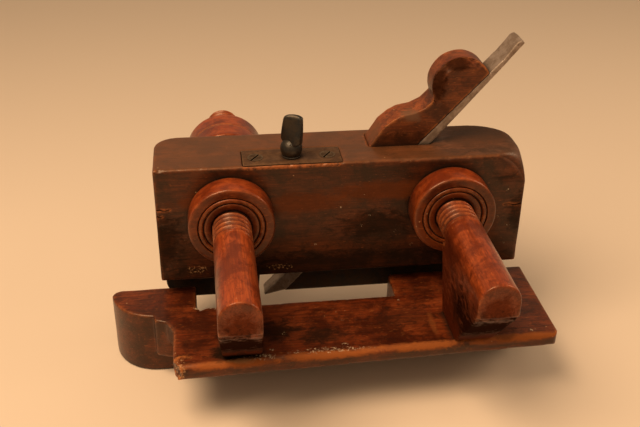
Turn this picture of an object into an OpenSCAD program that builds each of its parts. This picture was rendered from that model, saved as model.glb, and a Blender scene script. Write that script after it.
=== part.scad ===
// Screw-arm plough plane: grooves the edge of a board, guided by a sliding fence.
// X runs from toe to heel, the fence is on the -Y side, Z is up. Millimetres.
// Modules are written from the stock's lower toe corner on the fence side, and
// place() then puts the origin on the rear skate's sole, just behind the iron.

/* [Stock] */
// Length of the stock
stock_len = 245; // [200:1:280]
// Thickness of the stock
stock_t = 50; // [46:0.5:60]
// Height of the stock
stock_h = 83; // [76:0.5:95]
// Rounding of the heel, seen from the side
heel_r = 8; // [4:1:20]
// Rounding of the far heel corner, seen from above
corner_r = 30; // [8:1:34]
// Height of the rib that the skates are screwed to
rib_h = 12; // [8:0.5:14]

/* [Skate] */
// Drop of the skate below the stock
skate_drop = 32.5; // [26:0.5:36]
// Thickness of the skate plates
skate_t = 3.5; // [2.5:0.1:4]
// Distance of the skate's fence-side face from the stock's near face
skate_y = 28.5; // [27:0.5:30]
// Where the front skate ends, at the mouth
mouth_x = 68; // [60:1:72]

/* [Iron and wedge] */
// Angle of the iron's front face
iron_angle = 47.5; // [46:0.25:50]
// Angle of the bed under the iron
bed_angle = 48.7; // [48:0.1:50]
// Angle of the wedge's front face
wedge_angle = 57.6; // [55:0.2:60]
// Width of the iron
iron_w = 19; // [16:0.5:20.5]
// How far the iron stands above the stock, along its face
iron_above = 94.5; // [80:1:110]
// Radius of the wedge's round finial
finial_r = 19.5; // [16:0.5:20]

/* [Arms and nuts] */
// Distance of the toe arm from the toe
toe_arm_x = 48; // [44:1:56]
// Distance of the heel arm from the toe
heel_arm_x = 193; // [186:1:200]
// Height of both arms above the stock's sole
arm_z = 49; // [44:0.5:52]
// Diameter of the arms
arm_d = 25; // [22:0.5:26]
// How far the noses of the arms stand out from the stock
nose_y = 117; // [100:1:125]
// How far the threaded ends reach past the stock's near face
tail_y = 148.5; // [130:0.5:160]
// Diameter of the wooden nuts
nut_d = 55.6; // [50:0.2:60]
// Thickness of the wooden nuts
nut_t = 18; // [14:0.5:20]
// Gap between the loose pair of toe nuts and the stock
loose_gap = 14; // [5:1:20]

/* [Fence] */
// Height of the fence's top below the stock's sole
fence_top = 12.5; // [12:0.5:16]
// Where the fence's guide face is, measured from the stock's near face
guide_y = 11.5; // [6:0.5:12]
// Depth of the fence's rail
rail_depth = 45.5; // [38:0.5:52]
// Thickness of the fence's flange
flange_t = 10; // [8:0.5:12]
// Reach of the flange from the stock's near face, at the toe
flange_toe = 77; // [74:0.5:80]
// Reach of the flange from the stock's near face, at the heel
flange_heel = 68.5; // [68:0.5:72]
// Radius of the round nose of the rail
nose_r = 30.6; // [26:0.2:32]
// Where the fence ends, past the heel
fence_end = 254; // [250:1:260]

/* [Depth stop] */
// Where the thumbscrew stands along the stock
stop_x = 89; // [84:1:94]
// Where the thumbscrew stands across the stock
stop_y = 13; // [11:0.5:14]
// Length of the plate let into the top
plate_len = 64; // [60:1:70]
// Width of the plate
plate_w = 22; // [18:0.5:22]

/* [Hidden] */
$fn = 96;

oak = "#5a2410";
red_wood = "#8f3a16";
fence_wood = "#5e1f0c";
dark_iron = "#33302c";
steel = "#8d857a";

bore_gap = 0.08;       // radial clearance of a turning or sliding round piece
flat_gap = 0.1;        // clearance between flat faces of pieces that move apart
arm_r = arm_d / 2;
nut_r = nut_d / 2;
iron_y = 22;           // near edge of the iron, the wedge and their mortise
pocket_w = iron_w + 1.2;
plate_t = 2.5;
fence_z = -fence_top;
floor_z = fence_z - rail_depth;
wedge_x = 142.6;       // the wedge's front face crosses the stock's top here
iron_x = 175.5;        // the iron's front face crosses the stock's top here
bed_x = 184.4;         // the bed crosses the stock's top here
throat_z = 26;         // below this height the mortise opens into the throat
foot_y0 = -69;
foot_y1 = -35;
shoe_t = 6;
shoe_len = 60;
shoe_w = 17;
datum_x = 92;          // where along the rear skate's sole the origin is
head_low = 38.5;       // height of the flat underside of an arm's head
bead_h = 0.35;         // height of the bead on a nut's face
lean = [2, 4];         // sideways offset of each foot, as carved

// X of a face that leans at an angle a and crosses the stock's top at x
function lean_x(x, a, z) = x - (stock_h - z) / tan(a);

// A prism from an outline in X and Z, between two values of Y
module across(y0, y1) translate([0, y1, 0]) rotate([90, 0, 0]) linear_extrude(y1 - y0) children();

// A round bar along Y
module bar(x, z, r, y0, y1) translate([x, y1, z]) rotate([90, 0, 0]) cylinder(r = r, h = y1 - y0);

// A countersunk, slotted wood screw pointing down, its head's top at the origin
module wood_screw(head_r, shank_r, len, slot = 0.9, turn = 40) difference() {
    union() {
        cylinder(r = head_r, h = 0.2);
        translate([0, 0, -head_r * 0.7]) cylinder(r1 = shank_r, r2 = head_r, h = head_r * 0.7);
        translate([0, 0, -len + 3]) cylinder(r = shank_r, h = len - 3);
        translate([0, 0, -len]) cylinder(r1 = 0.4, r2 = shank_r, h = 3);
    }
    rotate([0, 0, turn]) translate([0, 0, 0.4]) cube([head_r * 3, slot, 2.4], center = true);
}

// The hole that a wood screw leaves in the pieces it holds
module screw_hole(head_r, shank_r, len) {
    cylinder(r = head_r, h = 2);
    translate([0, 0, -head_r * 0.7]) cylinder(r1 = shank_r, r2 = head_r, h = head_r * 0.7);
    translate([0, 0, -len]) cylinder(r = shank_r, h = len);
}

// A rectangle in the plane with one corner rounded
module rounded_corner(x, y, r, sx, sy) difference() {
    translate([x - (sx > 0 ? r : 0), y - (sy > 0 ? r : 0)]) translate([min(sx, 0), min(sy, 0)])
        square([r + 1, r + 1]);
    translate([x - sx * r, y - sy * r]) circle(r = r);
}

module at_skate_screws() for (x = [14, 54, 124, 178, 232]) translate([x, skate_y, -rib_h / 2])
    rotate([90, 0, 0]) children();

module at_plate_screws() for (x = [-1, 1]) translate([stop_x + x * (plate_len / 2 - 8.5), stop_y, stock_h])
    children();

module at_arm_bolts() for (i = [0, 1]) translate([[toe_arm_x, heel_arm_x][i] + lean[i] / 2, -52, fence_z - flange_t])
    children();

// Seen from the side, the stock is a rectangle with a rounded heel
module side_outline() difference() {
    translate([0, -rib_h]) square([stock_len, stock_h + rib_h]);
    rounded_corner(stock_len, stock_h, heel_r, 1, 1);
}

// Seen from above, its two far corners are rounded for the right hand
module plan_outline() difference() {
    square([stock_len, stock_t]);
    rounded_corner(stock_len, stock_t, corner_r, 1, 1);
    rounded_corner(0, stock_t, corner_r / 2, -1, 1);
}

// The opening for the iron and the wedge, from the top down to the throat
module mortise_outline() polygon([
    [lean_x(wedge_x, wedge_angle, stock_h + 1) - flat_gap, stock_h + 1],
    [lean_x(wedge_x, wedge_angle, throat_z) - flat_gap, throat_z],
    [mouth_x, -4],
    [mouth_x, -rib_h - 1],
    [lean_x(bed_x, bed_angle, -rib_h - 1), -rib_h - 1],
    [lean_x(bed_x, bed_angle, stock_h + 1), stock_h + 1]
]);

module stock() color(oak) difference() {
    intersection() {
        across(0, stock_t) side_outline();
        translate([0, 0, -rib_h]) linear_extrude(stock_h + rib_h) plan_outline();
    }
    // Only a rib beside the skates reaches below the sole
    translate([-1, -1, -rib_h - 1]) cube([stock_len + 2, skate_y + skate_t + 1, rib_h + 1]);
    // Bevel along the far lower edge
    translate([-1, 0, 0]) rotate([90, 0, 90]) linear_extrude(stock_len + 2)
        polygon([[stock_t - 9, -rib_h - 1], [stock_t + 1, 16], [stock_t + 1, -rib_h - 1]]);
    across(iron_y - flat_gap, iron_y + pocket_w + flat_gap) mortise_outline();
    // The throat widens to the far side, where the shavings leave
    translate([mouth_x + 16, iron_y + pocket_w - 2, 8]) rotate([-90, 0, 0])
        cylinder(r1 = 14, r2 = 21, h = stock_t - iron_y - pocket_w + 3);
    for (x = [toe_arm_x, heel_arm_x]) bar(x, arm_z, arm_r + bore_gap, -1, stock_t + 1);
    // Plate recess, thumbscrew bore, shoe pocket and guide bore of the depth stop
    translate([stop_x - plate_len / 2, stop_y - plate_w / 2, stock_h - plate_t])
        cube([plate_len, plate_w, plate_t + 1]);
    translate([stop_x, stop_y, -1]) cylinder(r = 7 + bore_gap, h = stock_h + 1);
    translate([stop_x - shoe_len / 2 - 0.5, stop_y - shoe_w / 2 - 0.3, -1])
        cube([shoe_len + 1, shoe_w + 0.6, shoe_t + 1 + flat_gap]);
    translate([stop_x + 21, stop_y, 0]) cylinder(r = 3 + bore_gap, h = 50);
    at_skate_screws() screw_hole(3.2, 1.8, 13);
    at_plate_screws() screw_hole(5.2, 2, 17);
}

module front_skate() color(dark_iron) difference() {
    across(skate_y, skate_y + skate_t) difference() {
        polygon([[1.5, 0], [mouth_x + 1, 0], [mouth_x - 1.5, -skate_drop], [1.5, -skate_drop]]);
        rounded_corner(1.5, -skate_drop, 14, -1, -1);
    }
    at_skate_screws() screw_hole(3.2, 1.8, 13);
}

module rear_skate() color(dark_iron) difference() {
    across(skate_y, skate_y + skate_t) difference() {
        polygon([
            [lean_x(bed_x, bed_angle, 0), 0],
            [lean_x(bed_x, bed_angle, 3 - skate_drop), 3 - skate_drop],
            [lean_x(bed_x, bed_angle, 3 - skate_drop), -skate_drop],
            [stock_len - 4, -skate_drop],
            [stock_len - 4, 0]
        ]);
        rounded_corner(stock_len - 4, -skate_drop, 10, 1, -1);
    }
    at_skate_screws() screw_hole(3.2, 1.8, 13);
}

module skate_screws() color(dark_iron) at_skate_screws() wood_screw(3.2, 1.8, 13);

module depth_plate() color(dark_iron) difference() {
    translate([stop_x - plate_len / 2, stop_y - plate_w / 2, stock_h - plate_t])
        cube([plate_len, plate_w, plate_t]);
    translate([stop_x, stop_y, stock_h - plate_t - 1]) cylinder(r = 4 + bore_gap, h = plate_t + 2);
    at_plate_screws() screw_hole(5.2, 2, 17);
}

module plate_screws() color(steel) at_plate_screws() wood_screw(5.2, 2, 17, 1.2, 55);

// Thumbscrew of the depth stop: a ball and a flat paddle on a long shank
module depth_screw() color(dark_iron) translate([stop_x, stop_y, 0]) {
    translate([0, 0, 14]) cylinder(r = 4, h = stock_h - 14 + 3);
    translate([0, 0, stock_h + 0.3]) cylinder(r = 6, h = 1.6);
    intersection() {
        translate([0, 0, stock_h + 5.8]) sphere(r = 7.2);
        translate([0, 0, stock_h + 0.3]) cylinder(r = 10, h = 20);
    }
    translate([0, 0, stock_h + 10]) rotate([0, 0, -40]) translate([0, 2.6, 0]) rotate([90, 0, 0])
        linear_extrude(5.2) union() {
            polygon([[-4, -4], [-7.4, 2.5], [-7.4, 7.5], [-4.4, 16], [4.4, 16], [7.4, 7.5], [7.4, 2.5], [4, -4]]);
            translate([0, 14.9]) circle(r = 4.4);
        }
}

// Ring fixed on the shank below the plate, so the thumbscrew turns without rising
module depth_collar() color(steel) translate([stop_x, stop_y, stock_h - plate_t - 3.6]) difference() {
    cylinder(r = 6.6, h = 3.4);
    translate([0, 0, -1]) cylinder(r = 4, h = 6);
}

module depth_shoe() color(dark_iron) translate([stop_x, stop_y, 0]) difference() {
    translate([-shoe_len / 2, -shoe_w / 2, 0]) cube([shoe_len, shoe_w, shoe_t]);
    for (x = [-1, 1]) translate([x * shoe_len / 2, 0, 0]) rotate([0, 45, 0])
        cube([3, shoe_w + 2, 3], center = true);
}

module shoe_stem() color(steel) translate([stop_x, stop_y, shoe_t]) difference() {
    cylinder(r = 7, h = 54);
    translate([0, 0, 3]) cylinder(r = 4 + bore_gap, h = 60);
}

module shoe_guide() color(steel) translate([stop_x + 21, stop_y, shoe_t]) cylinder(r = 3, h = 40);

// A point s along the iron's front face from the stock's top, and n in front of it
function on_iron(s, n) = [
    iron_x + s * cos(iron_angle) - n * sin(iron_angle),
    stock_h + s * sin(iron_angle) + n * cos(iron_angle)
];

module iron_outline() {
    tip = -(stock_h + skate_drop) / sin(iron_angle);
    heel_z = 3.6 - skate_drop;
    polygon([
        on_iron(tip, 0),
        on_iron(iron_above - 16, 0),
        on_iron(iron_above - 3, 1.6),
        on_iron(iron_above, 0.4),
        on_iron(iron_above, -2.6),
        [lean_x(bed_x, bed_angle, stock_h) - 0.15, stock_h],
        [lean_x(bed_x, bed_angle, heel_z) - 0.15, heel_z]
    ]);
}

// The iron is one forging, narrower below the mortise, with its bevel on the back
module iron() color(steel) intersection() {
    across(iron_y + 0.5, iron_y + 0.5 + iron_w) iron_outline();
    union() {
        translate([60, iron_y, 16]) cube([200, iron_w + 2, 160]);
        translate([60, skate_y + skate_t / 2 - 6.5, -40]) cube([200, 13, 57]);
    }
}

// The wedge's tapered blade and its shoulder, up to the finial
module wedge_outline() polygon([
    [lean_x(wedge_x, wedge_angle, 20), 20],
    [lean_x(wedge_x, wedge_angle, stock_h + 12), stock_h + 12],
    [wedge_x + 14, stock_h + 17.6],
    [wedge_x + 20, stock_h + 20.8],
    [wedge_x + 29, stock_h + 22.6],
    [wedge_x + 36, stock_h + 26],
    [wedge_x + 42, stock_h + 32],
    [wedge_x + 60, stock_h + 39],
    [wedge_x + 110, stock_h + 39],
    [wedge_x - 20, 20]
]);

// The wedge stays in front of the iron
module wedge() color(red_wood) {
    y0 = iron_y + 0.1;
    y1 = iron_y + pocket_w - 0.1;
    intersection() {
        union() {
            across(y0, y1) wedge_outline();
            bar(wedge_x + 60, stock_h + 39, finial_r, y0, y1);
        }
        across(y0 - 1, y1 + 1) polygon([
            on_iron(-200, flat_gap), on_iron(90, flat_gap), on_iron(90, 80), on_iron(-200, 120)
        ]);
    }
}

// Plan of the rail: a straight bar whose toe end swings round to the front
module nose_outline() difference() {
    intersection() {
        union() {
            translate([-3.8, guide_y - 1.9]) circle(r = nose_r);
            translate([-3.8, guide_y - 1.9 - nose_r]) square([fence_end + 3.8, nose_r + 2]);
        }
        translate([-60, -60]) square([fence_end + 60, 60 + guide_y]);
    }
    rounded_corner(-3.8 - nose_r, guide_y, 7, -1, 1);
}

// Plan of everything beside the rail, as far out as a given distance from the guide face
module step_outline(reach) intersection() {
    polygon([
        [-5.2, guide_y - 20], [-5.2, guide_y - 37], [2.6, guide_y - 40], [5.2, guide_y - 45.6],
        [7.4, guide_y - 51.5], [7.4, -flange_toe], [fence_end, -flange_heel], [fence_end, guide_y - 20]
    ]);
    translate([-60, guide_y - reach]) square([fence_end + 60, reach]);
}

module fence() color(fence_wood) difference() {
    union() {
        translate([0, 0, floor_z]) linear_extrude(rail_depth) nose_outline();
        // Stepped moulding between the rail and the flange, then the flange
        translate([0, 0, fence_z - 29.5]) linear_extrude(29.5) step_outline(40);
        translate([0, 0, fence_z - 15]) linear_extrude(15) step_outline(51.5);
        translate([0, 0, fence_z - flange_t]) linear_extrude(flange_t) step_outline(100);
    }
    // Gap in the rail that clears the depth stop
    translate([22.3, -15, floor_z - 1]) cube([134.7, 15 + guide_y + 1, rail_depth + 2]);
    at_arm_bolts() {
        translate([0, 0, -1]) cylinder(r = 3.5, h = flange_t + 2);
        translate([0, 0, -1]) cylinder(r = 9, h = 5);
    }
}

// An arm is one piece of wood: threaded bar, arched head and foot
module arm(x, side) color(red_wood) difference() {
    union() {
        bar(x, arm_z, arm_r, -nose_y, tail_y - 2);
        translate([x, tail_y, arm_z]) rotate([90, 0, 0]) cylinder(r1 = arm_r - 1.5, r2 = arm_r, h = 2);
        translate([x - arm_r, -nose_y, head_low]) cube([arm_d, nose_y + foot_y1, arm_z - head_low]);
        hull() {
            translate([x - arm_r + side, foot_y0, fence_z]) cube([arm_d, foot_y1 - foot_y0, 14.5]);
            translate([x - arm_r, -nose_y, head_low]) cube([arm_d, nose_y + foot_y1, 4]);
        }
    }
    translate([x - arm_d, -nose_y - 1, head_low - 10]) cube([2 * arm_d, 4, 10]);
    translate([x + side / 2, -52, fence_z - 1]) cylinder(r = 3.5, h = 37);
}

module toe_arm() arm(toe_arm_x, lean[0]);
module heel_arm() arm(heel_arm_x, lean[1]);

module arm_bolts() color(steel) at_arm_bolts() {
    translate([0, 0, 1.5]) cylinder(r = 3.5, h = flange_t + 33);
    difference() {
        translate([0, 0, 0.4]) cylinder(r = 6.5, h = 2.2);
        translate([0, 0, 0.4]) rotate([0, 0, 30]) cube([20, 1.6, 1.8], center = true);
    }
}

module bolt_washers() color(steel) at_arm_bolts() translate([0, 0, 2.6]) difference() {
    cylinder(r = 8.6, h = 1.4);
    translate([0, 0, -1]) cylinder(r = 3.5, h = 4);
}

// A turned wooden nut with a ringed outer face, from its stock side at t = 0
module nut_profile() polygon([
    [arm_r + bore_gap, 0], [nut_r - 0.8, 0], [nut_r, 0.8], [nut_r, nut_t - 1], [nut_r - 1, nut_t],
    [nut_r * 0.785, nut_t], [nut_r * 0.774, nut_t - 0.9], [nut_r * 0.763, nut_t],
    [nut_r * 0.74, nut_t + bead_h], [nut_r * 0.672, nut_t + bead_h],
    [nut_r * 0.655, nut_t], [nut_r * 0.644, nut_t - 0.9], [nut_r * 0.633, nut_t],
    [arm_r + bore_gap + 0.8, nut_t], [arm_r + bore_gap, nut_t - 0.8]
]);

module nut(x, y, turn) color(red_wood) translate([x, y, arm_z]) rotate([turn, 0, 0])
    rotate_extrude() nut_profile();

module toe_near_nut() nut(toe_arm_x, -flat_gap, 90);
module toe_lock_nut() nut(toe_arm_x, stock_t + loose_gap + nut_t + bead_h + flat_gap, -90);
module heel_near_nut() nut(heel_arm_x, -flat_gap, 90);
module toe_far_nut() nut(toe_arm_x, stock_t + loose_gap, -90);
module heel_far_nut() nut(heel_arm_x, stock_t + flat_gap, -90);

// Moves the plane so that the origin lies on the rear skate's sole
module place() translate([-datum_x, -skate_y - skate_t / 2, skate_drop]) children();

place() stock();
place() front_skate();
place() rear_skate();
place() skate_screws();
place() depth_plate();
place() plate_screws();
place() depth_screw();
place() depth_collar();
place() depth_shoe();
place() shoe_stem();
place() shoe_guide();
place() iron();
place() wedge();
place() fence();
place() toe_arm();
place() heel_arm();
place() arm_bolts();
place() bolt_washers();
place() toe_near_nut();
place() toe_far_nut();
place() toe_lock_nut();
place() heel_near_nut();
place() heel_far_nut();
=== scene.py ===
"""Looks of the screw-arm plough plane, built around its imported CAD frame.

Shapes are worked out in millimetres from the stock's lower toe corner on the fence side,
as in the CAD source: X runs towards the heel, Y away from the fence, Z up.
"""

import itertools
import math

import bmesh
import bpy
import numpy as np
from mathutils import Matrix, Vector


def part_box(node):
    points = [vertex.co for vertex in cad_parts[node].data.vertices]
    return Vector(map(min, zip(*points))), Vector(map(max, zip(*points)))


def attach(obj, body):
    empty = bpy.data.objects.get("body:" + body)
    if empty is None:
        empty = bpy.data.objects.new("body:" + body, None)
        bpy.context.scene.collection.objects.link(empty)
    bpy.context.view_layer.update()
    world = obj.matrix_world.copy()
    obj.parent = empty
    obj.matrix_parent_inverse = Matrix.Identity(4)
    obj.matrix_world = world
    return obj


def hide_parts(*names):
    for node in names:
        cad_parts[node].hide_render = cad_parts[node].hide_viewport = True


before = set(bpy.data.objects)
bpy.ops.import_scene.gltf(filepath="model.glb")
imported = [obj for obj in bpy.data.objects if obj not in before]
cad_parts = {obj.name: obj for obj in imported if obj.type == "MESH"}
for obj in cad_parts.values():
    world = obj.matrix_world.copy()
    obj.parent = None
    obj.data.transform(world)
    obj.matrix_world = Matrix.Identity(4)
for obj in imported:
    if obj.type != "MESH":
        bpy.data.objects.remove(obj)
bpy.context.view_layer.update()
MM = 0.001

CORNER = np.array((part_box("stock")[0].x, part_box("stock")[0].y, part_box("front_skate")[1].z))


def local(node):
    """A node's lowest and highest corners, in millimetres from the stock's corner."""
    return [(np.array(corner) - CORNER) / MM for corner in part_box(node)]


def middle(node, axis):
    """The middle of a node's box along one axis."""
    low, high = local(node)
    return (low[axis] + high[axis]) / 2


STOCK_LEN, STOCK_T, STOCK_H = local("stock")[1]
FENCE_TOP = local("toe_arm")[0][2]
ARM_X = {side: middle(side + "_near_nut", 0) for side in ("toe", "heel")}
ARM_Z = middle("toe_near_nut", 2)
ARM_R = local("toe_arm")[1][2] - ARM_Z
ARM_TAIL = local("toe_arm")[1][1]
NUT_R = (local("toe_near_nut")[1][2] - local("toe_near_nut")[0][2]) / 2
STOP_X, STOP_Y = middle("depth_plate", 0), middle("depth_plate", 1)

# The circle of the wedge's finial
FINIAL_R = 19.5
FINIAL_X = 202.6

# The arms' thread: where it starts in Y, and its groove
THREAD_START = -41
THREAD_PITCH = 5.08
THREAD_DEPTH = 2.1

# How the flange's front edge draws back from toe to heel
FLANGE_TOE = 7.4
FLANGE_RUN = 247
FLANGE_SKEW = 8.5

# Most triangles for a large carved piece, and for a smaller one
LARGE_MESH = 190000
SMALL_MESH = 90000

# ---------------------------------------------------------------- camera, lights and floor

AIM = Vector((0.0147, -0.0291, 0.0781))
AZIMUTH = math.radians(-7.796)
ELEVATION = math.radians(29.662)
ROLL = math.radians(0.803)
DISTANCE = 0.6
LENS = 51.09


def add_camera():
    """Looks down on the fence side from a little towards the toe."""
    forward_flat = Vector((-math.sin(AZIMUTH), math.cos(AZIMUTH), 0))
    forward = forward_flat * math.cos(ELEVATION) - Vector((0, 0, math.sin(ELEVATION)))
    level_right = Vector((math.cos(AZIMUTH), math.sin(AZIMUTH), 0))
    level_up = level_right.cross(forward)
    right = level_right * math.cos(ROLL) + level_up * math.sin(ROLL)
    up = level_up * math.cos(ROLL) - level_right * math.sin(ROLL)
    data = bpy.data.cameras.new("camera")
    data.lens = LENS
    data.clip_start = 0.01
    camera = bpy.data.objects.new("camera", data)
    turn = Matrix((right, up, -forward)).transposed().to_4x4()
    camera.matrix_world = Matrix.Translation(AIM - forward * DISTANCE) @ turn
    bpy.context.scene.collection.objects.link(camera)
    bpy.context.scene.camera = camera


def area_light(name, place, aim, size, power, colour):
    data = bpy.data.lights.new(name, "AREA")
    data.size = size
    data.energy = power
    data.color = colour
    lamp = bpy.data.objects.new(name, data)
    direction = Vector(aim) - Vector(place)
    turn = direction.to_track_quat("-Z", "Y").to_matrix().to_4x4()
    lamp.matrix_world = Matrix.Translation(place) @ turn
    bpy.context.scene.collection.objects.link(lamp)


def light_scene():
    """Warm soft light: a key from above the toe, a weak fill and a rim light from the heel."""
    warm, amber = (1, 0.73, 0.46), (1, 0.75, 0.5)
    area_light("key", (-0.4, -0.3, 0.95), (0.02, -0.05, 0.0), 0.6, 11.4, warm)
    area_light("fill", (0.3, -1.0, 0.8), (0.02, 0.0, 0.03), 0.9, 1.0, warm)
    area_light("rim", (0.95, 0.1, 0.6), (0.05, 0, 0.05), 0.4, 2.6, amber)
    world = bpy.data.worlds.new("world")
    bpy.context.scene.world = world
    world.use_nodes = True
    background = world.node_tree.nodes["Background"]
    background.inputs["Color"].default_value = (*amber, 1)
    background.inputs["Strength"].default_value = 0.31
    bpy.context.scene.view_settings.view_transform = "Standard"


# ---------------------------------------------------------------- mesh tools

LATTICE_SIZE = 32
LATTICE = np.random.default_rng(11).random((LATTICE_SIZE,) * 3)


def bumps(p, size, seed=0.0):
    """Smooth noise from -1 to 1 at each point, in lumps of about the given size."""
    q = np.asarray(p) / size + seed * 7.31
    i = np.floor(q).astype(int)
    f = q - i
    f = f * f * (3 - 2 * f)
    total = np.zeros(len(q))
    for step in itertools.product((0, 1), repeat=3):
        weight = np.prod(np.where(step, f, 1 - f), axis=1)
        total += weight * LATTICE[tuple(((i + step) % LATTICE_SIZE).T)]
    return total * 2 - 1


def unit(v):
    v = np.asarray(v, float)
    return v / np.linalg.norm(v)


def read_points(obj):
    flat = np.empty(len(obj.data.vertices) * 3)
    obj.data.vertices.foreach_get("co", flat)
    return (flat.reshape(-1, 3) - CORNER) / MM


def write_points(obj, p):
    obj.data.vertices.foreach_set("co", (CORNER + np.asarray(p) * MM).ravel())
    obj.data.update()


def read_edges(obj):
    flat = np.empty(len(obj.data.edges) * 2, dtype=np.int32)
    obj.data.edges.foreach_get("vertices", flat)
    return flat.reshape(-1, 2)


def read_normals(obj):
    flat = np.empty(len(obj.data.vertices) * 3)
    obj.data.vertex_normals.foreach_get("vector", flat)
    return flat.reshape(-1, 3)


def mean_of_neighbours(p, edges):
    """The mean place of the points that share an edge with each point."""
    count = np.bincount(edges.ravel(), minlength=len(p))
    out = np.empty_like(p)
    for axis in range(3):
        total = np.bincount(edges[:, 0], p[edges[:, 1], axis], len(p))
        total += np.bincount(edges[:, 1], p[edges[:, 0], axis], len(p))
        out[:, axis] = total / count
    return out


def soften(obj, rounds, share=0.6):
    """Rounds the edges of a dense mesh; share is how far a point moves, one number or one each."""
    edges = read_edges(obj)
    p = read_points(obj)
    share = np.broadcast_to(share, len(p))[:, None]
    for _ in range(rounds):
        p = p + share * (mean_of_neighbours(p, edges) - p)
    write_points(obj, p)


def link(name, mesh):
    obj = bpy.data.objects.new(name, mesh)
    bpy.context.scene.collection.objects.link(obj)
    return obj


def settle(obj):
    """Turns the object's modifiers into its mesh."""
    graph = bpy.context.evaluated_depsgraph_get()
    mesh = bpy.data.meshes.new_from_object(obj.evaluated_get(graph))
    obj.modifiers.clear()
    old = obj.data
    obj.data = mesh
    bpy.data.meshes.remove(old)


def clean_copy(node, name, bevel=0.0, segments=2):
    """A copy of a CAD node with whole flat faces, and its sharp edges rounded if asked."""
    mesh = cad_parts[node].data.copy()
    mesh.materials.clear()
    bm = bmesh.new()
    bm.from_mesh(mesh)
    bmesh.ops.remove_doubles(bm, verts=bm.verts, dist=2e-6)
    bmesh.ops.dissolve_limit(bm, angle_limit=math.radians(1), verts=bm.verts, edges=bm.edges)
    bm.to_mesh(mesh)
    bm.free()
    obj = link(name, mesh)
    if bevel:
        edge = obj.modifiers.new("bevel", "BEVEL")
        edge.width = bevel * MM
        edge.segments = segments
        edge.limit_method = "ANGLE"
        edge.angle_limit = math.radians(28)
        settle(obj)
    return obj


def remesh(obj, voxel):
    grid = obj.modifiers.new("remesh", "REMESH")
    grid.mode = "VOXEL"
    grid.voxel_size = voxel * MM
    settle(obj)


def thin_out(obj, most):
    """Collapses a dense mesh to at most this many triangles, flat places first."""
    faces = sum(len(f.vertices) - 2 for f in obj.data.polygons)
    if faces > most:
        fewer = obj.modifiers.new("fewer", "DECIMATE")
        fewer.ratio = most / faces
        settle(obj)


def combine(obj, other, how="DIFFERENCE"):
    """Takes another closed mesh out of the object, or joins it on, and drops the other."""
    done = obj.modifiers.new("combine", "BOOLEAN")
    done.operation = how
    done.solver = "MANIFOLD"
    done.object = other
    settle(obj)
    bpy.data.objects.remove(other)


def shade_smooth(obj, angle=None):
    obj.data.shade_smooth()
    if angle:
        obj.data.set_sharp_from_angle(angle=math.radians(angle))


PARED_MOST = 2.5


def facet(p, centre, normal, reach, rough=0.0, size=3.0):
    """Pares the points that stand above a plane down onto it, within reach of its centre."""
    normal = unit(normal)
    away = p - np.asarray(centre, float)
    height = away @ normal - rough * bumps(p, size, 3.3)
    near = np.clip(1.4 - np.linalg.norm(away, axis=1) / reach, 0, 0.4) / 0.4
    return p - np.outer(np.clip(height, 0, PARED_MOST) * near, normal)


def dent(p, normals, centre, reach, depth):
    """Presses a shallow round dent into the surface."""
    far = np.linalg.norm((p - np.asarray(centre, float)), axis=1) / reach
    return p - normals * (depth * np.clip(1 - far**2, 0, 1) ** 2)[:, None]


def grid_mesh(name, rings, closed_ends=True):
    """A closed skin over rings of points; without ends, the last ring joins onto the first."""
    rings = np.asarray(rings, float)
    count, sides = rings.shape[:2]
    verts = [CORNER + v * MM for v in rings.reshape(-1, 3)]
    faces = []
    for i, j in itertools.product(range(count - 1), range(sides)):
        k = (j + 1) % sides
        faces.append((i * sides + j, i * sides + k, (i + 1) * sides + k, (i + 1) * sides + j))
    if closed_ends:
        faces.append(tuple(reversed(range(sides))))
        faces.append(tuple(range((count - 1) * sides, count * sides)))
    else:
        last = (count - 1) * sides
        for j in range(sides):
            k = (j + 1) % sides
            faces.append((last + j, last + k, k, j))
    mesh = bpy.data.meshes.new(name)
    mesh.from_pydata(verts, [], faces)
    bm = bmesh.new()
    bm.from_mesh(mesh)
    bmesh.ops.recalc_face_normals(bm, faces=bm.faces)
    bm.to_mesh(mesh)
    bm.free()
    return link(name, mesh)


def block(low, high):
    """A plain box to cut with, given in millimetres."""
    (x0, y0, z0), (x1, y1, z1) = low, high
    rings = [[(x, y0, z0), (x, y1, z0), (x, y1, z1), (x, y0, z1)] for x in (x0, x1)]
    return grid_mesh("block", rings)


def crack(path, width, depth_axis, depth):
    """A thin wandering slit along a path of points, sunk along one axis, to cut with."""
    rings = []
    path = np.asarray(path, float)
    sink = np.zeros(3)
    sink[depth_axis] = 1
    for i, point in enumerate(path):
        along = unit(path[min(i + 1, len(path) - 1)] - path[max(i - 1, 0)])
        side = unit(np.cross(along, sink))
        half = width / 2 * (0.25 + 0.75 * (1 - i / (len(path) - 1)))
        rings.append([point + side * half - sink * 0.5, point - side * half - sink * 0.5,
                      point - side * 0.05 + sink * depth, point + side * 0.05 + sink * depth])
    return grid_mesh("crack", rings)


def finish_piece(obj, node, body, material):
    """Puts a finished mesh in place of its CAD node, held within the node's own box."""
    write_points(obj, np.clip(read_points(obj), *local(node)))
    obj.data.materials.clear()
    obj.data.materials.append(material)
    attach(obj, body)
    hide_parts(node)


# ---------------------------------------------------------------- material tools

SOOT = (0.012, 0.007, 0.004)
BARE = (0.42, 0.22, 0.1)
CHALK = (0.6, 0.46, 0.3)
DUST = (0.118, 0.046, 0.018)
NICKED = (0.5, 0.28, 0.13)


def put(tree, kind, values=(), **settings):
    """Adds a shader node; each value is a number, a colour or another node's output."""
    made = tree.nodes.new("ShaderNode" + kind)
    for key, value in settings.items():
        setattr(made, key, value)
    for key, value in dict(values).items():
        if isinstance(value, bpy.types.NodeSocket):
            tree.links.new(value, made.inputs[key])
        else:
            made.inputs[key].default_value = value
    return made


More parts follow.
